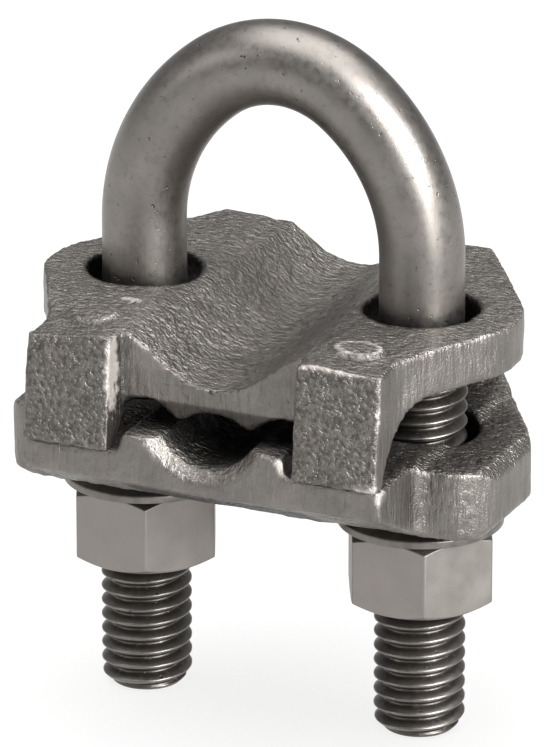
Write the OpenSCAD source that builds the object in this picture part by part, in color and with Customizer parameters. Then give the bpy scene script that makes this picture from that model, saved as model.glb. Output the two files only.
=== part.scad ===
// U-bolt clamp: two cast saddles on a threaded U-bolt, closed by two hex nuts on dished washers.
// X runs from leg to leg, Y along the clamped rod and rope, Z up, and the leg tips stand on Z = 0.

/* [U-bolt] */
// Distance between the two leg axes
leg_spacing = 30.8; // [30.2:0.05:31.2]
// Diameter of the plain shank, which is smaller than the thread because the thread is rolled
shank_d = 8.7; // [8.5:0.05:9]
// Major diameter of the thread (3/8 inch, 16 turns to the inch)
thread_d = 9.4; // [9.2:0.05:9.5]
// Height at which the thread ends on each leg
thread_top = 41; // [40:0.5:42]
// Height at which the legs start to bend
bend_z = 50.8; // [50.3:0.1:52]
// How far past the middle plane the centre of each flank's bend lies
flank_reach = 4.8; // [4.2:0.3:5.1]
// Chamfer on the leg tips
tip_chamfer = 1.1; // [0.8:0.1:1.5]

/* [Nuts and washers] */
// Width of a nut across its flats (9/16 inch)
nut_af = 14.29; // [14.1:0.01:14.3]
// Height of a nut
nut_h = 8.33; // [8:0.01:8.6]
// Height of the nuts' lower face above the leg tips
nut_z = 14.25; // [13.5:0.05:14.3]
// Direction of one corner of the left nut's hexagon, from +X
left_nut_turn = -66; // [-90:1:90]
// Direction of one corner of the right nut's hexagon, from +X
right_nut_turn = -64; // [-90:1:90]
// Radial clearance between a nut's bore and the thread's crests
nut_clearance = 0.05; // [0.03:0.01:0.08]
// Outer diameter of a washer
washer_d = 17.1; // [16.6:0.1:17.4]
// Hole in a washer
washer_hole_d = 9.8; // [9.6:0.05:10]
// Thickness of the washers' sheet
washer_t = 0.85; // [0.7:0.05:1]
// Free height of a dished washer, from the rim's lower edge to the top of its hole
washer_h = 2.75; // [2.5:0.05:2.75]

/* [Saddles] */
// Clearance holes for the legs in both saddles
hole_d = 11.7; // [11.4:0.1:12]
// Half width of the square corners of both saddles
corner_x = 19.4; // [19:0.1:19.8]
// Half depth of the saddles at mid height
half_y = 20.2; // [19.8:0.1:20.4]
// Half width of the gap between the feet of the upper saddle
foot_gap = 10.1; // [9.9:0.05:10.3]

/* [Upper saddle] */
// Height of its flat top
upper_top = 45.5; // [45:0.1:46]
// Underside of its ears
ear_under = 40.6; // [40:0.1:41.2]
// Radius of its ears round the leg axes
upper_ear_r = 10.35; // [10:0.05:10.6]
// Depth of the trough that takes the rod
trough_depth = 4.9; // [4.4:0.1:5.2]
// Slope of the trough's flanks
trough_slope = 38; // [35:1:42]
// Radius of the trough's floor
trough_r = 7.5; // [7:0.1:8]
// Radius of the shoulders beside the trough
shoulder_r = 5; // [4.5:0.1:5.5]
// How far the middle of the front face stands back from its corners
recess = 3.1; // [2.5:0.1:3.5]

/* [Lower saddle] */
// Flat seat for the washers
seat_z = 25.4; // [25.4:0.05:25.6]
// Half depth of the seat
seat_y = 11; // [10.5:0.1:11.5]
// Lower edge of the end faces, at the outer ends of the sloping underside
skirt_z = 30; // [29.6:0.1:30.4]
// Top of the ears
lower_ear_top = 32.6; // [32.2:0.1:32.8]
// Top of the flanges that the upper saddle's feet stand on
flange_top = 33.2; // [33:0.05:33.25]
// Half length over the ears
lower_half_x = 26.9; // [26.5:0.1:27.2]
// Half width of the tongue between the feet
tongue_x = 9; // [8.7:0.1:9.1]
// Top of the tongue
tongue_top = 35.2; // [35:0.05:35.3]
// Radius of the groove that takes the rope
groove_r = 5.6; // [5.2:0.1:6]
// Floor of the groove
groove_floor = 32.3; // [32:0.1:32.6]

/* [Hidden] */
$fn = 96;
leg_x = leg_spacing / 2;
flank_angle = asin(4 / 5);
flank_r = leg_x + flank_reach;
crown_r = flank_r - flank_reach * 5 / 3;
crown_z = bend_z + flank_reach * 4 / 3;
flank_steps = 7;
crown_steps = 10;
bar_sides = 32;
foot_bottom = flange_top + 0.05;
floor_z = upper_top - trough_depth;
face_lean = 0.7;
arc_steps = 10;
far = 60;

// Points on an arc about (cx, cy) from angle a0 to a1
function arc(cx, cy, r, a0, a1) =
    [for (i = [0:arc_steps]) let (a = a0 + (a1 - a0) * i / arc_steps)
        [cx + r * cos(a), cy + r * sin(a)]];

// The same points on the other side of the middle plane, in reverse order
function mirrored(points) =
    [for (i = [len(points) - 1:-1:0]) [-points[i][0], points[i][1]]];

// One half of an outline, closed by its mirror image
module both_sides(half) {
    polygon(concat(half, mirrored(half)));
}

// Upright prism from z0 to z1
module slab(z0, z1) {
    translate([0, 0, z0])
        linear_extrude(z1 - z0)
            children();
}

// Prism whose section is drawn in X and Z, running along Y from y0 to y1
module along_y(y0, y1) {
    translate([0, y1, 0])
        rotate([90, 0, 0])
            linear_extrude(y1 - y0)
                children();
}

// Prism whose section is drawn in Y and Z, running along X from x0 to x1
module along_x(x0, x1) {
    translate([x0, 0, 0])
        rotate([90, 0, 90])
            linear_extrude(x1 - x0)
                children();
}

// Places its children at both leg axes
module each_leg() {
    for (side = [-1, 1])
        translate([side * leg_x, 0, 0])
            children();
}

// ---- U-bolt ----

module thread() {
    rotate_extrude()
        polygon([
            [0, 0], [thread_d / 2 - tip_chamfer, 0], [thread_d / 2, tip_chamfer],
            [thread_d / 2, thread_top - 0.3], [thread_d / 2 - 0.3, thread_top], [0, thread_top]]);
}

// Stations along the bar's axis, from inside the right thread to inside the left: [x, z, lean].
// Each flank of the bow is an arc about a point past the middle plane, and a 3-4-5 triangle sets
// where it meets the tighter arc of the crown.
function flank_station(a) = [-flank_reach + flank_r * cos(a), bend_z + flank_r * sin(a), a];
function crown_station(a) = [crown_r * cos(a), crown_z + crown_r * sin(a), a];
right_flank = [for (i = [0:flank_steps]) flank_station(flank_angle * i / flank_steps)];
crown = [for (i = [1:crown_steps - 1])
    crown_station(flank_angle + (180 - 2 * flank_angle) * i / crown_steps)];
stations = concat(
    [[leg_x, thread_top - 1, 0]],
    right_flank,
    crown,
    [for (i = [flank_steps:-1:0]) [-right_flank[i][0], right_flank[i][1], 180 - right_flank[i][2]]],
    [[-leg_x, thread_top - 1, 180]]
);

// Round bar swept along the stations
module shank() {
    points = [for (s = stations, k = [0:bar_sides - 1])
        let (turn = 360 * k / bar_sides, reach = shank_d / 2 * cos(turn))
            [s[0] + reach * cos(s[2]), shank_d / 2 * sin(turn), s[1] + reach * sin(s[2])]];
    last = len(stations) - 1;
    sides = [for (i = [0:last - 1], k = [0:bar_sides - 1])
        let (next = (k + 1) % bar_sides)
            [(i + 1) * bar_sides + k, (i + 1) * bar_sides + next, i * bar_sides + next, i * bar_sides + k]];
    ends = [
        [for (k = [0:bar_sides - 1]) k],
        [for (k = [bar_sides - 1:-1:0]) last * bar_sides + k]];
    polyhedron(points, concat(sides, ends));
}

module u_bolt() {
    color([0.56, 0.55, 0.53]) {
        shank();
        each_leg()
            thread();
    }
}

// ---- Upper saddle ----

upper_notch_r = 5;
upper_notch_y = -16.4;
upper_notch_in = 0.3;
upper_back_x = 15.6;
upper_back_r = 3;
ear_back_angle = 29;

// Right half of the plan: square front corner, notch, round ear, then a straight run to the back corner
upper_half = concat(
    [[corner_x, -half_y - 1]],
    arc(corner_x - upper_notch_in + upper_notch_r, upper_notch_y, upper_notch_r, 180, 148),
    arc(leg_x, 0, upper_ear_r, -34, ear_back_angle),
    arc(upper_back_x - upper_back_r, half_y + face_lean - upper_back_r, upper_back_r, ear_back_angle, 90)
);

// Right half of the jaw that bears on the rope, as X and Z: a notch, a tooth, then a pocket
jaw = concat(
    [[0, 37.4], [1.3, 37.3], [2.2, 37], [3, 36.5]],
    arc(3.9, 37.2, 0.9, 240, 300),
    [[5.4, 37.3], [6.6, 37.9], [7.6, 38], [8.8, 37.8]]
);

// Right half of the section across the trough
trough_run = (trough_depth - (trough_r + shoulder_r) * (1 - cos(trough_slope))) / tan(trough_slope);
trough_half_w = (trough_r + shoulder_r) * sin(trough_slope) + trough_run;
foot_root = 37;
upper_section = concat(
    jaw,
    [[foot_gap, foot_root], [foot_gap, foot_bottom], [far, foot_bottom], [far, upper_top]],
    arc(trough_half_w, upper_top - shoulder_r, shoulder_r, 90, 90 + trough_slope),
    arc(0, floor_z + trough_r, trough_r, 270 + trough_slope, 270)
);

// Side view: the end faces lean out towards the feet
side_section = [
    [-half_y + face_lean, upper_top + 1], [-half_y - face_lean, foot_bottom],
    [-half_y - face_lean, 0], [half_y + face_lean, 0], [half_y + face_lean, foot_bottom],
    [half_y - face_lean, upper_top + 1]];

// Cut between the feet at one side, under the ear, with a rounded top
foot_inner_y = 18.9;
arch_y = 11.5;
arch_r = 3;
module upper_arch(x0, x1) {
    along_x(x0, x1)
        polygon(concat(
            [[-foot_inner_y, 0], [-foot_inner_y, foot_bottom]],
            arc(-arch_y, ear_under - arch_r, arch_r, 135, 90),
            arc(arch_y, ear_under - arch_r, arch_r, 90, 45),
            [[foot_inner_y, foot_bottom], [foot_inner_y, 0]]));
}

module upper_saddle() {
    color([0.43, 0.42, 0.41])
        difference() {
            intersection() {
                slab(foot_bottom - 1, upper_top + 1)
                    both_sides(upper_half);
                along_y(-far, far)
                    both_sides(upper_section);
                along_x(-far, far)
                    polygon(side_section);
            }
            upper_arch(foot_gap, far);
            upper_arch(-far, -foot_gap);
            along_y(-far, -half_y + recess)
                square([2 * foot_gap, 2 * far], center = true);
            each_leg()
                cylinder(d = hole_d, h = far);
        }
}

// ---- Lower saddle ----

lower_notch_r = 2;
lower_notch_y = -seat_y - lower_notch_r;
lower_corner_x = corner_x + 0.1;
lower_corner_r = 4.5;
lower_back_x = 17;
lower_back_r = 3;
lower_back_angle = 28;

// Right half of the plan: square front corner, notch, blunt ear, then a straight run to the back corner
lower_half = concat(
    [[lower_corner_x, -half_y]],
    arc(lower_corner_x + lower_notch_r, lower_notch_y, lower_notch_r, 180, 90),
    arc(lower_half_x - lower_corner_r, -seat_y + lower_corner_r, lower_corner_r, -90, 0),
    arc(lower_half_x - lower_corner_r, 0.5, lower_corner_r, 0, lower_back_angle),
    arc(lower_back_x - lower_back_r, half_y - lower_back_r, lower_back_r, lower_back_angle, 90)
);

// Right half of the section across the rope's groove
ear_chamfer = 1.2;
tongue_r = 0.9;
tongue_foot = 0.3;
lower_section = concat(
    [[0, seat_z], [lower_half_x - ear_chamfer, seat_z], [lower_half_x, seat_z + ear_chamfer],
     [lower_half_x, lower_ear_top - ear_chamfer], [lower_half_x - ear_chamfer, lower_ear_top],
     [corner_x + ear_chamfer, lower_ear_top], [corner_x, flange_top], [tongue_x + tongue_foot, flange_top]],
    arc(tongue_x - tongue_r, tongue_top - tongue_r, tongue_r, 0, 90),
    [[0, tongue_top]]
);

// Side view: flat seat in the middle, sloping up to the skirts
lower_side = [
    [-seat_y, seat_z], [seat_y, seat_z], [half_y, skirt_z], [half_y, far], [-half_y, far],
    [-half_y, skirt_z]];

module groove() {
    groove_z = groove_floor + groove_r;
    flare = 1.2;
    translate([0, far / 2, groove_z])
        rotate([90, 0, 0])
            cylinder(r = groove_r, h = far);
    for (side = [0, 180])
        rotate([0, 0, side])
            translate([0, -half_y + flare, groove_z])
                rotate([90, 0, 0])
                    cylinder(r1 = groove_r, r2 = groove_r + 2 * flare, h = 2 * flare);
}

module lower_saddle() {
    color([0.46, 0.45, 0.44])
        difference() {
            intersection() {
                slab(seat_z - 1, tongue_top + 1)
                    both_sides(lower_half);
                along_y(-far, far)
                    both_sides(lower_section);
                along_x(-far, far)
                    polygon(lower_side);
            }
            groove();
            each_leg()
                cylinder(d = hole_d, h = far);
        }
}

// ---- Washers and nuts ----

// Dished spring washer: its rim stands on the nut and its inner edge bears on the seat
module washer(x) {
    rise = washer_h - washer_t;
    color([0.52, 0.51, 0.49])
        translate([x, 0, nut_z + nut_h + 0.02])
            rotate_extrude()
                polygon([
                    [washer_hole_d / 2, rise], [washer_d / 2, 0],
                    [washer_d / 2, washer_t], [washer_hole_d / 2, washer_h]]);
}

module left_washer() {
    washer(-leg_x);
}

module right_washer() {
    washer(leg_x);
}

// Hex nut, chamfered at both ends, with a countersunk bore
module nut(x, turn) {
    across_corners = nut_af / cos(30);
    bore_r = thread_d / 2 + nut_clearance;
    flat_r = nut_af / 2 * 0.96;
    corner_r = across_corners / 2 + 0.01;
    drop = (corner_r - flat_r) * tan(30);
    sink = 0.5;
    color([0.62, 0.61, 0.6])
        translate([x, 0, nut_z])
            rotate([0, 0, turn])
                difference() {
                    intersection() {
                        cylinder(d = across_corners, h = nut_h, $fn = 6);
                        rotate_extrude()
                            polygon([
                                [0, 0], [flat_r, 0], [corner_r, drop], [corner_r, nut_h - drop],
                                [flat_r, nut_h], [0, nut_h]]);
                    }
                    translate([0, 0, -1])
                        cylinder(r = bore_r, h = nut_h + 2);
                    for (end = [0, 1])
                        translate([0, 0, end * nut_h])
                            mirror([0, 0, end])
                                translate([0, 0, -sink])
                                    cylinder(r1 = bore_r + 2 * sink, r2 = bore_r, h = 2 * sink);
                }
}

module left_nut() {
    nut(-leg_x, left_nut_turn);
}

module right_nut() {
    nut(leg_x, right_nut_turn);
}

u_bolt();
upper_saddle();
lower_saddle();
left_washer();
right_washer();
left_nut();
right_nut();
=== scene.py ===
import math
from itertools import product

import bmesh
import bpy
import numpy as np
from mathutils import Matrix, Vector


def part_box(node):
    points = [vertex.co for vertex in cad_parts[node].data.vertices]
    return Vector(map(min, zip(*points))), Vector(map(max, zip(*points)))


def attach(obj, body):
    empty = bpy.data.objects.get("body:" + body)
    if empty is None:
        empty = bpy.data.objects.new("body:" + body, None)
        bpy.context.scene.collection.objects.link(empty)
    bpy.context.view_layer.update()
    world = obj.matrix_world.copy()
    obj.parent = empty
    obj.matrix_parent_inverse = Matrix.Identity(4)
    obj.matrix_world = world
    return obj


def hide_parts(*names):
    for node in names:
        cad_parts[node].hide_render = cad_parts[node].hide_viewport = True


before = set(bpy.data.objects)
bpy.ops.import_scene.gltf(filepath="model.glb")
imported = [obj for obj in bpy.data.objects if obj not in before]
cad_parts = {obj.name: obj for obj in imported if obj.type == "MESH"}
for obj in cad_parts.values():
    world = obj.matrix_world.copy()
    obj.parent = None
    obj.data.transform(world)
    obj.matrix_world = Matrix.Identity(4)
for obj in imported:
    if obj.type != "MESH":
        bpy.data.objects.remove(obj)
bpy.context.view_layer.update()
scene = bpy.context.scene

MM = 0.001
FULL_TURN = 2 * math.pi

# ---- Driving sizes, in millimetres ----

THREAD_R = 4.7
THREAD_PITCH = 1.5875
THREAD_DEPTH = 0.97
THREAD_TOP = 41.0
# The last cut of the thread ends this far above THREAD_TOP.
THREAD_END = THREAD_TOP + 0.6
TIP_CHAMFER = 1.1
SHANK_R = 4.35
BEND_Z = 50.8
FLANK_REACH = 4.8
NUT_AF = 14.29
LEFT_NUT_TURN = -66.0
RIGHT_NUT_TURN = -64.0
NUT_CLEARANCE = 0.05
WASHER_T = 0.85
WASHER_HOLE_R = 4.9
CAST_VOXEL = 0.26
TOP_Z = 45.5
HOLE_R = 5.85
# Bulge of the smoothed surface that counts as a fully worn edge.
WORN_BULGE = 0.03


def corners(node):
    """Lowest and highest corner of a CAD node, in millimetres."""
    low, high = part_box(node)
    return np.array(low) / MM, np.array(high) / MM


NUT_LOW, NUT_HIGH = corners("right_nut")
LEG_X = (NUT_LOW[0] + NUT_HIGH[0]) / 2
NUT_Z, NUT_H = NUT_LOW[2], NUT_HIGH[2] - NUT_LOW[2]
# The bow is a crown arc between two wider flank arcs, whose centres make a 3-4-5 triangle with the crown's.
FLANK_R = LEG_X + FLANK_REACH
CROWN_R = FLANK_R - FLANK_REACH * 5 / 3
CROWN_Z = BEND_Z + FLANK_REACH * 4 / 3
FLANK_ANGLE = math.asin(4 / 5)


# ---- Noise ----

LATTICE = 256
SCATTER = 4096


def perlin(points, seed):
    """Gradient noise from about -1 to 1 at each row of points, the same on every run."""
    draws = np.random.default_rng(seed)
    order = draws.permutation(LATTICE)
    slopes = draws.normal(size=(LATTICE, 3))
    slopes /= np.linalg.norm(slopes, axis=1)[:, None]
    cell = np.floor(points).astype(int)
    inside = points - cell
    ease = inside ** 3 * (inside * (inside * 6 - 15) + 10)
    total = np.zeros(len(points))
    for corner in product((0, 1), repeat=3):
        at = cell + corner
        index = order[at[:, 0] % LATTICE]
        index = order[(index + at[:, 1]) % LATTICE]
        index = order[(index + at[:, 2]) % LATTICE]
        share = np.prod(np.where(corner, ease, 1 - ease), axis=1)
        total += share * np.sum(slopes[index] * (inside - corner), axis=1)
    return total * 1.6


def pocks(points, seed):
    """Distance from each row of points to the nearest of the scattered points, one in each unit cell."""
    cell = np.floor(points).astype(int)
    scatter = np.random.default_rng(seed).random((SCATTER, 3))
    nearest = np.full(len(points), np.inf)
    for offset in product((-1, 0, 1), repeat=3):
        at = cell + offset
        index = (at[:, 0] * 73 + at[:, 1] * 179 + at[:, 2] * 283) % SCATTER
        nearest = np.minimum(nearest, np.linalg.norm(at + scatter[index] - points, axis=1))
    return nearest


def step(low, high, x):
    """0 at low, 1 at high and smooth between. Low may be the larger."""
    t = np.clip((x - low) / (high - low), 0, 1)
    return t * t * (3 - 2 * t)


# ---- Mesh building ----

def make_piece(name, verts, faces):
    mesh = bpy.data.meshes.new(name)
    mesh.from_pydata((np.asarray(verts) * MM).tolist(), [], faces)
    mesh.polygons.foreach_set("use_smooth", [True] * len(mesh.polygons))
    mesh.update()
    piece = bpy.data.objects.new(name, mesh)
    scene.collection.objects.link(piece)
    return piece


def skin(name, rings, loop=False):
    """A closed surface through rings of equal length.

    A loop joins the last ring to the first. Otherwise both ends get a cap.
    """
    rings = np.asarray(rings)
    count, sides, _ = rings.shape
    verts = rings.reshape(-1, 3)
    spans = count if loop else count - 1
    faces = []
    for i in range(spans):
        a, b = i * sides, (i + 1) % count * sides
        faces += [(a + k, a + (k + 1) % sides, b + (k + 1) % sides, b + k) for k in range(sides)]
    if not loop:
        middles = [rings[0].mean(0), rings[-1].mean(0)]
        verts = np.vstack([verts, middles])
        start, end = (count - 1) * sides, count * sides
        faces += [((k + 1) % sides, k, end) for k in range(sides)]
        faces += [(start + k, start + (k + 1) % sides, end + 1) for k in range(sides)]
    return make_piece(name, verts, faces)


def circle(sides):
    return np.linspace(0, FULL_TURN, sides, endpoint=False)


def level_ring(x, r, turn, z):
    """A level ring of points about the upright axis at x."""
    return np.stack([x + r * np.cos(turn), r * np.sin(turn), np.full(len(turn), z)], 1)


def rounded(profile, radius):
    """The closed (r, z) profile with each corner cut back by radius and bent round it."""
    out = []
    count = len(profile)
    for i, here in enumerate(profile):
        before, after = profile[i - 1], profile[(i + 1) % count]
        here, before, after = map(np.array, (here, before, after))
        back, ahead = before - here, after - here
        cut_back = min(radius, np.linalg.norm(back) * 0.4)
        cut_ahead = min(radius, np.linalg.norm(ahead) * 0.4)
        a = here + back / np.linalg.norm(back) * cut_back
        b = here + ahead / np.linalg.norm(ahead) * cut_ahead
        out += [(1 - t) ** 2 * a + 2 * t * (1 - t) * here + t * t * b for t in (0, 0.25, 0.5, 0.75, 1)]
    return out


# ---- U-bolt ----

def thread_radius(turn, z):
    """Radius of a right-hand rolled thread at that angle and height."""
    phase = (z / THREAD_PITCH - turn / FULL_TURN) % 1
    height = np.abs(2 * phase - 1)
    flank = np.clip((height - 0.12) / 0.78, 0, 1)
    height = step(0.08, 0.92, height) * 0.15 + flank * 0.85
    cut = THREAD_R - THREAD_DEPTH * (1 - height)
    run_out = step(THREAD_TOP - 1.2, THREAD_TOP + 0.4, z)
    tip = THREAD_R - TIP_CHAMFER + z
    return np.minimum(cut * (1 - run_out) + SHANK_R * run_out, tip)


def leg_radius(turn, z):
    return thread_radius(turn, z) if z < THREAD_END else np.full(len(turn), SHANK_R)


def leg_stations():
    """Heights up a leg: close together along the thread, wider apart on the plain shank."""
    fine = np.arange(0, THREAD_END, THREAD_PITCH / 16)
    plain = np.linspace(THREAD_END + 0.2, BEND_Z, 16)
    return np.concatenate([fine, plain])


def bow_stations():
    """(x, z, lean) over the bow from the right leg to the left, without its ends."""
    flank = np.linspace(0, FLANK_ANGLE, 30)
    crown = np.linspace(FLANK_ANGLE, math.pi - FLANK_ANGLE, 40)[1:-1]
    right = [(-FLANK_REACH + FLANK_R * math.cos(a), BEND_Z + FLANK_R * math.sin(a), a) for a in flank]
    top = [(CROWN_R * math.cos(a), CROWN_Z + CROWN_R * math.sin(a), a) for a in crown]
    left = [(-x, z, math.pi - a) for x, z, a in reversed(right)]
    return right[1:] + top + left[:-1]


def build_u_bolt():
    """One bar: up the right leg, over the bow and down the left leg."""
    turn = circle(72)
    heights = leg_stations()
    rings = [level_ring(LEG_X, leg_radius(turn, z), turn, z) for z in heights]
    for x, z, lean in bow_stations():
        reach = SHANK_R * np.cos(turn)
        xs, zs = x + reach * math.cos(lean), z + reach * math.sin(lean)
        rings.append(np.stack([xs, SHANK_R * np.sin(turn), zs], 1))
    mirrored = math.pi - turn
    rings += [level_ring(-LEG_X, leg_radius(mirrored, z), mirrored, z) for z in heights[::-1]]
    piece = skin("u_bolt_forged", rings)
    p = vertex_array(piece.data)
    across = np.hypot(np.abs(p[:, 0]) - LEG_X, p[:, 1])
    on_thread = step(THREAD_TOP + 0.2, THREAD_TOP - 0.8, p[:, 2])
    depth = np.clip((THREAD_R - across) / THREAD_DEPTH, 0, 1)
    # How deep each point lies in a thread root, for the painted shade there.
    add_attribute(piece.data, "root", on_thread * step(0.1, 0.75, depth))
    return piece


# ---- Nuts and washers ----

def hex_radius(angle):
    """Distance from the axis to the side of a hexagon whose corners are rounded."""
    fillet = 0.35
    half = NUT_AF / 2
    off = abs((angle + math.pi / 6) % (math.pi / 3) - math.pi / 6)
    meet = math.pi / 6 - math.atan((half - fillet) / half * math.tan(math.pi / 6))
    if off > meet:
        return half / math.cos(math.pi / 6 - off)
    centre = (half - fillet) / math.cos(math.pi / 6)
    return centre * math.cos(off) + math.sqrt(fillet ** 2 - (centre * math.sin(off)) ** 2)


def build_nut(name, x, turn_deg):
    """A hex nut with both faces chamfered at 30 degrees. Its columns of points crowd towards the corners."""
    bore = THREAD_R + NUT_CLEARANCE
    sink = 0.5
    edge = 0.14
    flat_r = NUT_AF / 2 * 0.955
    slope = math.tan(math.radians(30))
    steps = [0, 0.3, 0.6, 0.9, 1.2, 1.8, 3, 6, 10, 15, 20, 25, 30]
    steps += [60 - s for s in steps[-2:0:-1]]
    angles = [math.radians(60 * i + s) for i in range(6) for s in steps]
    spun = math.radians(turn_deg)
    columns = []
    for a in angles:
        r = hex_radius(a)
        drop = (r - flat_r) * slope
        profile = [
            (bore, sink), (bore + sink, 0), (flat_r, 0), (r, drop),
            (r, NUT_H - drop), (flat_r, NUT_H), (bore + sink, NUT_H), (bore, NUT_H - sink)]
        spin = a + spun
        columns.append([(x + rim * math.cos(spin), rim * math.sin(spin), NUT_Z + z)
                        for rim, z in rounded(profile, edge)])
    rings = np.array(columns).transpose(1, 0, 2)
    piece = skin(name, rings, loop=True)
    piece.modifiers.new("even_shading", "WEIGHTED_NORMAL")
    return piece


def build_washer(name, node, x):
    """A dished washer whose hole stands higher than its rim."""
    low, high = corners(node)
    outer, inner = (high[0] - low[0]) / 2, WASHER_HOLE_R
    base, rise = low[2], high[2] - low[2] - WASHER_T
    edge = 0.18
    turn = circle(120)
    profile = [(inner, rise), (outer, 0), (outer, WASHER_T), (inner, rise + WASHER_T)]
    rings = [level_ring(x, r, turn, base + z) for r, z in rounded(profile, edge)]
    piece = skin(name, rings, loop=True)
    piece.modifiers.new("even_shading", "WEIGHTED_NORMAL")
    return piece


# ---- Castings ----

def neighbour_mean(values, edges, degree):
    """Mean over each vertex's neighbours."""
    total = np.zeros_like(values)
    np.add.at(total, edges[:, 0], values[edges[:, 1]])
    np.add.at(total, edges[:, 1], values[edges[:, 0]])
    return total / degree[:, None]


def vertex_array(mesh):
    co = np.zeros(len(mesh.vertices) * 3)
    mesh.vertices.foreach_get("co", co)
    return co.reshape(-1, 3) / MM


def normal_array(mesh):
    out = np.zeros(len(mesh.vertices) * 3)
    mesh.vertices.foreach_get("normal", out)
    return out.reshape(-1, 3)


def facing_masks(n):
    """Shares of each point's skin that face up or down, along Y, and sideways."""
    top = step(0.5, 0.85, np.abs(n[:, 2]))
    end = step(0.6, 0.9, np.abs(n[:, 1])) * (1 - top)
    return top, end, 1 - top - end


def cast_relief(p, n):
    """Height of the as-cast skin in millimetres.

    Ripples lie on the top, pocks on the ends and drag lines down the sides.
    """
    warp = np.stack([perlin(p * 0.35, 11), perlin(p * 0.35, 12), perlin(p * 0.35, 13)], 1)
    top, end, side = facing_masks(n)
    ripples = perlin((p + warp) * (0.8, 1.7, 1.4), 21) + 0.4 * perlin(p * (1.2, 2.0, 1.8), 22)
    dents = step(0.1, 0.7, pocks(p * 1.15, 31)) - 0.6 + 0.5 * perlin(p * 1.5, 32)
    drag = perlin(p * (1.5, 1.5, 0.2), 41)
    swell = perlin(p * 0.13, 51)
    lumps = perlin(p * 0.45, 61)
    return top * ripples * 0.1 + end * dents * 0.1 + side * drag * 0.07 + swell * 0.14 + lumps * 0.07


def tilt_trough(p, n):
    """The trough's floor rises from the front to the back."""
    in_trough = step(12.5, 7.5, np.abs(p[:, 0])) * step(0.0, 0.5, n[:, 2]) * step(38.5, 39.5, p[:, 2])
    below_top = np.maximum(TOP_Z - 0.3 - p[:, 2], 0)
    p[:, 2] += np.minimum(in_trough * 0.9 * p[:, 1] / 20, below_top)


def sag_corners(p):
    """The top falls away towards the front corners, more at the left than at the right."""
    at_front = step(-9, -19, p[:, 1]) * step(38, 44, p[:, 2])
    p[:, 2] -= at_front * (1.3 * step(-7, -19, p[:, 0]) + 0.4 * step(9, 19, p[:, 0]))


def raise_pads(p, n):
    """A plain oval pad on each front corner of the upper saddle's top."""
    for side in (-1, 1):
        reach = np.hypot((p[:, 0] - side * 14.5) / 2.7, (p[:, 1] + 14.0) / 1.9)
        p[:, 2] += 0.45 * step(1.1, 0.88, reach) * step(0.6, 0.9, n[:, 2])


def rubbed(p, wear_and_crease_shade, spots):
    """How far each point is worn to bare metal.

    A spot is a centre, its half lengths and how much of it shows away from edges.
    """
    ragged = 0.4 * perlin(p * 1.2, 71) + 0.35 * perlin(p * (2.6, 2.6, 1.3), 72)
    on_edge = step(0.15, 0.6, wear_and_crease_shade)
    bare = np.zeros(len(p))
    for centre, half, flat in spots:
        reach = np.linalg.norm((p - centre) / half, axis=1)
        bare = np.maximum(bare, step(1.1, 0.75, reach + ragged) * np.maximum(on_edge, flat))
    return bare


def pocked(p, n):
    """The end faces of the upper saddle's blocks, whose skin is coarser than the rest."""
    _, end, _ = facing_masks(n)
    return end * step(9.9, 10.3, np.abs(p[:, 0])) * step(17.5, 18.5, np.abs(p[:, 1]))


def hole_and_jaw_shade(p):
    """Painted shade: the skin in the leg holes and in the space between the jaws is darkened, where shade
    falls.
    """
    across = np.hypot(np.abs(p[:, 0]) - LEG_X, p[:, 1])
    in_hole = step(HOLE_R + 0.7, HOLE_R + 0.2, across)
    in_jaw = step(10.3, 9.6, np.abs(p[:, 0])) * step(19.5, 16.5, np.abs(p[:, 1])) * step(38.4, 38.0, p[:, 2])
    return np.maximum(in_hole, in_jaw)


def add_attribute(mesh, name, values):
    layer = mesh.attributes.new(name, "FLOAT", "POINT")
    layer.data.foreach_set("value", values.astype(np.float32))


def remeshed(name, source):
    """A copy of a CAD node as an even mesh of small faces."""
    mesh = source.data.copy()
    joined = bmesh.new()
    joined.from_mesh(mesh)
    bmesh.ops.remove_doubles(joined, verts=joined.verts, dist=1e-6)
    joined.to_mesh(mesh)
    joined.free()
    mesh.materials.clear()
    piece = bpy.data.objects.new(name, mesh)
    scene.collection.objects.link(piece)
    cells = piece.modifiers.new("cells", "REMESH")
    cells.mode = "VOXEL"
    cells.voxel_size = CAST_VOXEL * MM
    bpy.context.view_layer.update()
    fine = bpy.data.meshes.new_from_object(piece.evaluated_get(bpy.context.evaluated_depsgraph_get()))
    piece.modifiers.clear()
    piece.data = fine
    return piece


def set_vertices(mesh, p):
    mesh.vertices.foreach_set("co", (p * MM).ravel())
    mesh.update()


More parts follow.
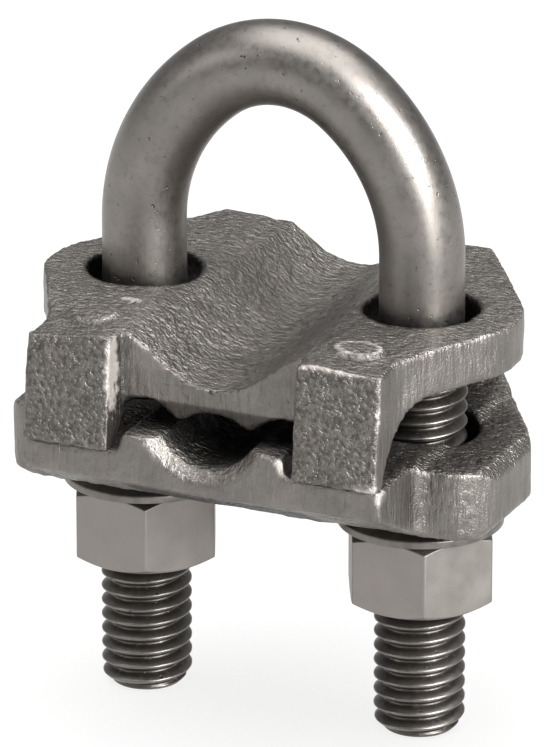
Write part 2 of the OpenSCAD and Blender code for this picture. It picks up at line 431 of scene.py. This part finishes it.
def build_casting(name, node, spots, is_upper):
    """The CAD casting with soft edges, an as-cast skin and the attributes that its material reads."""
    piece = remeshed(name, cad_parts[node])
    fine = piece.data
    edges = np.zeros(len(fine.edges) * 2, int)
    fine.edges.foreach_get("vertices", edges)
    edges = edges.reshape(-1, 2)
    degree = np.bincount(edges.ravel(), minlength=len(fine.vertices)).astype(float)
    p = vertex_array(fine)
    for _ in range(4):
        p += 0.5 * (neighbour_mean(p, edges, degree) - p)
    set_vertices(fine, p)
    n = normal_array(fine)
    if is_upper:
        tilt_trough(p, n)
        raise_pads(p, n)
        sag_corners(p)
        set_vertices(fine, p)
        n = normal_array(fine)
    bulge = np.sum((p - neighbour_mean(p, edges, degree)) * n, axis=1)[:, None]
    for _ in range(6):
        bulge += 0.6 * (neighbour_mean(bulge, edges, degree) - bulge)
    # Positive on convex edges, which wear bare; negative in concave creases, which the material darkens as
    # painted shade.
    wear_and_crease_shade = np.clip(bulge[:, 0] / WORN_BULGE, -1, 1)
    add_attribute(fine, "wear_and_crease_shade", wear_and_crease_shade)
    add_attribute(fine, "bare", rubbed(p, wear_and_crease_shade, spots))
    add_attribute(fine, "hole_and_jaw_shade", hole_and_jaw_shade(p))
    add_attribute(fine, "pocked", pocked(p, n) * is_upper)
    p += n * cast_relief(p, n)[:, None]
    fine.polygons.foreach_set("use_smooth", [True] * len(fine.polygons))
    set_vertices(fine, p)
    return piece


# ---- Materials ----

class Nodes:
    """A material's node tree, with a short way to add and join nodes."""

    def __init__(self, name):
        self.material = bpy.data.materials.new(name)
        self.material.use_nodes = True
        self.tree = self.material.node_tree
        self.shader = self.tree.nodes["Principled BSDF"]
        self.place = self.add("ShaderNodeTexCoord").outputs["Object"]

    def add(self, kind, **settings):
        node = self.tree.nodes.new(kind)
        for key, value in settings.items():
            setattr(node, key, value)
        return node

    def put(self, socket, value):
        """Join a socket to value, or set it where value is plain."""
        if isinstance(value, bpy.types.NodeSocket):
            self.join(value, socket)
        else:
            socket.default_value = value

    def join(self, source, target):
        self.tree.links.new(source, target)

    def feed(self, node, **values):
        for key, value in values.items():
            self.put(node.inputs[key], value)
        return node

    def stretched(self, per_mm):
        """Object coordinates in millimetres, stretched by axis."""
        mapping = self.add("ShaderNodeMapping")
        self.join(self.place, mapping.inputs["Vector"])
        mapping.inputs["Scale"].default_value = [v / MM for v in per_mm]
        return mapping.outputs["Vector"]

    def noise(self, per_mm, detail=3.0, roughness=0.55):
        node = self.add("ShaderNodeTexNoise")
        self.feed(node, Vector=self.stretched(per_mm), Scale=1.0, Detail=detail, Roughness=roughness)
        return node.outputs["Fac"]

    def attribute(self, name):
        return self.add("ShaderNodeAttribute", attribute_name=name).outputs["Fac"]

    def ramp(self, value, low, high, out_low=0.0, out_high=1.0):
        """Value carried from low..high to out_low..out_high, and held at both ends."""
        node = self.add("ShaderNodeMapRange", clamp=True)
        self.join(value, node.inputs["Value"])
        for key, v in (("From Min", low), ("From Max", high), ("To Min", out_low), ("To Max", out_high)):
            node.inputs[key].default_value = v
        return node.outputs["Result"]

    def math(self, operation, a, b):
        node = self.add("ShaderNodeMath", operation=operation)
        for socket, value in zip(node.inputs, (a, b)):
            self.put(socket, value)
        return node.outputs["Value"]

    def mix(self, share, a, b):
        node = self.add("ShaderNodeMix", data_type="RGBA")
        for key, value in (("Factor", share), ("A", a), ("B", b)):
            self.put(next(s for s in node.inputs if s.name == key and s.enabled), value)
        return next(s for s in node.outputs if s.enabled)

    def bump(self, height, depth_mm, strength=1.0):
        node = self.add("ShaderNodeBump")
        self.feed(node, Height=height, Distance=depth_mm * MM, Strength=strength)
        self.join(node.outputs["Normal"], self.shader.inputs["Normal"])


def grey(value, warmth=0.075):
    """A slightly warm grey."""
    return (value * (1 + warmth), value, value * (1 - warmth), 1.0)


def cast_iron():
    m = Nodes("cast_iron")
    facing = m.add("ShaderNodeSeparateXYZ")
    m.join(m.add("ShaderNodeTexCoord").outputs["Normal"], facing.inputs[0])
    top = m.ramp(m.math("ABSOLUTE", facing.outputs["Z"], 0), 0.55, 0.85)
    end = m.attribute("pocked")
    side = m.math("SUBTRACT", 1.0, m.math("MAXIMUM", top, end))
    ripples = m.ramp(m.noise((1.3, 2.4, 2.4), detail=3.0), 0.3, 0.68)
    pits = m.ramp(m.noise((2.1, 2.1, 2.1), detail=3.0), 0.34, 0.62)
    drag = m.ramp(m.noise((2.6, 2.6, 0.35), detail=3.0), 0.25, 0.75, 0.1, 0.6)
    grain = m.noise((4.0, 4.0, 4.0), detail=3.0)
    relief = m.math("MULTIPLY", top, ripples)
    relief = m.math("ADD", relief, m.math("MULTIPLY", end, m.math("MULTIPLY", pits, 0.6)))
    relief = m.math("ADD", relief, m.math("MULTIPLY", side, drag))
    shade = m.math("ADD", relief, m.math("MULTIPLY", side, 0.3))
    blotches = m.noise((0.25, 0.25, 0.25), detail=4.0)
    tone = m.mix(m.ramp(blotches, 0.3, 0.7), grey(0.165), grey(0.215))
    # Painted shade: low points of the relief, and the top and pocked end faces, which lack the side lift,
    # are darkened towards grey(0.09).
    tone = m.mix(m.ramp(shade, 0.0, 0.6), grey(0.09), tone)
    wear_and_crease_shade = m.attribute("wear_and_crease_shade")
    edge = m.math("MULTIPLY", m.ramp(wear_and_crease_shade, 0.3, 1.0), m.ramp(blotches, 0.45, 0.6, 0.0, 0.3))
    bare = m.math("MAXIMUM", edge, m.attribute("bare"))
    tone = m.mix(bare, tone, grey(0.45))
    # Painted shade: concave creases are darkened towards grey(0.06).
    tone = m.mix(m.ramp(wear_and_crease_shade, -0.7, -0.1), grey(0.06), tone)
    # Painted shade: the leg holes and the space between the jaws are darkened towards near black.
    tone = m.mix(m.math("MULTIPLY", m.attribute("hole_and_jaw_shade"), 0.8), tone, grey(0.02))
    m.join(tone, m.shader.inputs["Base Color"])
    m.join(m.ramp(bare, 0.0, 1.0, 1.0, 0.45), m.shader.inputs["Metallic"])
    m.join(m.ramp(grain, 0.3, 0.7, 0.34, 0.48), m.shader.inputs["Roughness"])
    m.bump(m.math("ADD", relief, m.math("MULTIPLY", grain, 0.6)), 0.16)
    return m.material


def bar_steel():
    m = Nodes("bar_steel")
    cloud = m.noise((0.22, 0.22, 0.22), detail=5.0)
    mottle = m.noise((1.3, 1.3, 1.3), detail=4.0)
    pits = m.ramp(m.noise((1.6, 1.6, 1.6), detail=2.0), 0.68, 0.76)
    fine = m.noise((9.0, 9.0, 9.0), detail=2.0)
    tone = m.mix(m.ramp(cloud, 0.3, 0.7), grey(0.185), grey(0.235))
    tone = m.mix(m.ramp(mottle, 0.25, 0.5), grey(0.17), tone)
    tone = m.mix(pits, tone, grey(0.05))
    nicks = m.ramp(m.noise((1.8, 1.8, 1.8), detail=1.0), 0.6, 0.68)
    root_shade_kept = m.math("SUBTRACT", 1.0, m.math("MULTIPLY", nicks, 0.6))
    root = m.math("MULTIPLY", m.attribute("root"), root_shade_kept)
    # Painted shade: the thread roots are darkened towards grey(0.1), less so at the nicks.
    tone = m.mix(root, tone, grey(0.1))
    m.join(tone, m.shader.inputs["Base Color"])
    m.shader.inputs["Metallic"].default_value = 1.0
    m.join(m.ramp(mottle, 0.3, 0.7, 0.34, 0.42), m.shader.inputs["Roughness"])
    m.bump(m.math("SUBTRACT", m.math("MULTIPLY", fine, 0.4), pits), 0.04, 0.8)
    return m.material


def nut_steel():
    m = Nodes("nut_steel")
    cloud = m.noise((0.3, 0.3, 0.3), detail=4.0)
    fine = m.noise((6.0, 6.0, 2.0), detail=3.0)
    m.join(m.mix(m.ramp(cloud, 0.3, 0.7), grey(0.24), grey(0.29)), m.shader.inputs["Base Color"])
    m.shader.inputs["Metallic"].default_value = 1.0
    m.join(m.ramp(cloud, 0.3, 0.7, 0.42, 0.55), m.shader.inputs["Roughness"])
    m.bump(fine, 0.02, 0.5)
    return m.material


def washer_steel():
    m = Nodes("washer_steel")
    cloud = m.noise((0.6, 0.6, 0.6), detail=4.0)
    m.join(m.mix(m.ramp(cloud, 0.3, 0.7), grey(0.13), grey(0.22)), m.shader.inputs["Base Color"])
    m.shader.inputs["Metallic"].default_value = 1.0
    m.join(m.ramp(cloud, 0.3, 0.7, 0.35, 0.5), m.shader.inputs["Roughness"])
    m.bump(m.noise((3.0, 3.0, 3.0)), 0.04, 0.5)
    return m.material


# ---- Stage, light and camera ----

LAMP_TARGET = Vector((0, 0, 0.04))
CAMERA_TARGET = Vector((-0.75, 0, 35.97)) * MM
CAMERA_AZIMUTH = 24.0
CAMERA_ELEVATION = 20.5
CAMERA_DISTANCE = 0.77


def build_floor():
    """A pale floor just under the leg tips. It is partly self-lit, to stay near white."""
    reach, level = 4.0, -0.02 * MM
    verts = [(x * reach, y * reach, level) for x, y in ((-1, -1), (1, -1), (1, 1), (-1, 1))]
    mesh = bpy.data.meshes.new("floor")
    mesh.from_pydata(verts, [], [(0, 1, 2, 3)])
    floor = bpy.data.objects.new("floor", mesh)
    scene.collection.objects.link(floor)
    m = bpy.data.materials.new("floor_white")
    m.use_nodes = True
    shader = m.node_tree.nodes["Principled BSDF"]
    shader.inputs["Base Color"].default_value = (0.2, 0.2, 0.2, 1)
    shader.inputs["Emission Color"].default_value = (1, 1, 0.995, 1)
    shader.inputs["Emission Strength"].default_value = 0.84
    shader.inputs["Roughness"].default_value = 0.9
    shader.inputs["Specular IOR Level"].default_value = 0.1
    mesh.materials.append(m)


def direction(azimuth, elevation):
    """Unit vector from the object: azimuth 0 is -Y and turns towards +X, in degrees."""
    a, e = math.radians(azimuth), math.radians(elevation)
    return Vector((math.sin(a) * math.cos(e), -math.cos(a) * math.cos(e), math.sin(e)))


def aim(thing, target, back, distance):
    """Put a lamp or camera at that distance from target, facing it."""
    thing.location = target + back * distance
    thing.rotation_mode = "QUATERNION"
    thing.rotation_quaternion = (-back).to_track_quat("-Z", "Y")
    scene.collection.objects.link(thing)


def softbox(name, azimuth, elevation, distance, size, power, lights_only=None):
    """A rectangular lamp aimed at the object's middle. With lights_only it lights that collection alone."""
    light = bpy.data.lights.new(name, "AREA")
    light.shape = "RECTANGLE"
    light.size, light.size_y = size
    light.energy = power
    lamp = bpy.data.objects.new(name, light)
    lamp.visible_camera = False
    aim(lamp, LAMP_TARGET, direction(azimuth, elevation), distance)
    if lights_only:
        lamp.light_linking.receiver_collection = lights_only


def build_world(strength):
    world = bpy.data.worlds.new("studio")
    world.use_nodes = True
    world.node_tree.nodes["Background"].inputs["Color"].default_value = (1, 1, 1, 1)
    world.node_tree.nodes["Background"].inputs["Strength"].default_value = strength
    scene.world = world


def build_camera():
    data = bpy.data.cameras.new("camera")
    data.lens = 363.7
    data.sensor_width = 36
    data.dof.use_dof = False
    data.clip_start, data.clip_end = 0.01, 20
    camera = bpy.data.objects.new("camera", data)
    aim(camera, CAMERA_TARGET, direction(CAMERA_AZIMUTH, CAMERA_ELEVATION), CAMERA_DISTANCE)
    scene.camera = camera


# ---- Assembly ----

def place(piece, body, node, material):
    """Give a piece its material and let it stand for its CAD node."""
    piece.data.materials.clear()
    piece.data.materials.append(material)
    OBJECT_ONLY.objects.link(piece)
    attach(piece, body)
    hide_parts(node)


scene.view_settings.view_transform = "Standard"
build_camera()
build_floor()
build_world(0.3)
OBJECT_ONLY = bpy.data.collections.new("object_only")
softbox("sky", 0, 90, 2.5, (3.0, 3.0), 92)
softbox("key", 66, 32, 1.0, (0.55, 0.55), 20, OBJECT_ONLY)
softbox("strip", 58, 5, 0.45, (0.1, 0.24), 0.85, OBJECT_ONLY)
softbox("fill", -50, 25, 1.4, (0.6, 0.6), 2.5, OBJECT_ONLY)

# Bright worn spots: centre and half lengths in millimetres, then how much shows away from edges.
UPPER_RUBS = [
    ((-10.1, -19.3, 41.2), (0.7, 1.6, 4.2), 0.9),
    ((19.4, -20.3, 42.5), (0.5, 0.6, 3.0), 0.15),
    ((18.3, -20.9, 33.6), (1.3, 0.8, 0.8), 0.2),
    ((-6.0, -17.2, 43.0), (3.2, 0.8, 2.2), 0.1),
    ((14.0, -19.6, 45.2), (5.0, 0.4, 0.4), 0.1),
    ((-12.5, -9.5, 45.5), (1.3, 0.5, 0.4), 0.8),
    ((14.5, -14.0, 45.8), (3.2, 2.4, 0.5), 0.05),
]
LOWER_RUBS = [
    ((-5.0, -20.2, 33.6), (1.6, 0.5, 1.4), 0.0),
    ((8.7, -20.2, 34.3), (0.5, 0.5, 1.0), 0.1),
    ((19.5, -19.6, 32.6), (0.7, 1.3, 0.9), 0.25),
]

iron, bar, nut, washer = cast_iron(), bar_steel(), nut_steel(), washer_steel()
u_bolt = build_u_bolt()
upper = build_casting("upper_saddle_cast", "upper_saddle", UPPER_RUBS, True)
lower = build_casting("lower_saddle_cast", "lower_saddle", LOWER_RUBS, False)
left_washer = build_washer("left_washer_dished", "left_washer", -LEG_X)
right_washer = build_washer("right_washer_dished", "right_washer", LEG_X)
place(u_bolt, "frame", "u_bolt", bar)
place(upper, "upper", "upper_saddle", iron)
place(lower, "lower", "lower_saddle", iron)
place(left_washer, "washer_l", "left_washer", washer)
place(right_washer, "washer_r", "right_washer", washer)
place(build_nut("left_nut_hex", -LEG_X, LEFT_NUT_TURN), "nut_l", "left_nut", nut)
place(build_nut("right_nut_hex", LEG_X, RIGHT_NUT_TURN), "nut_r", "right_nut", nut)
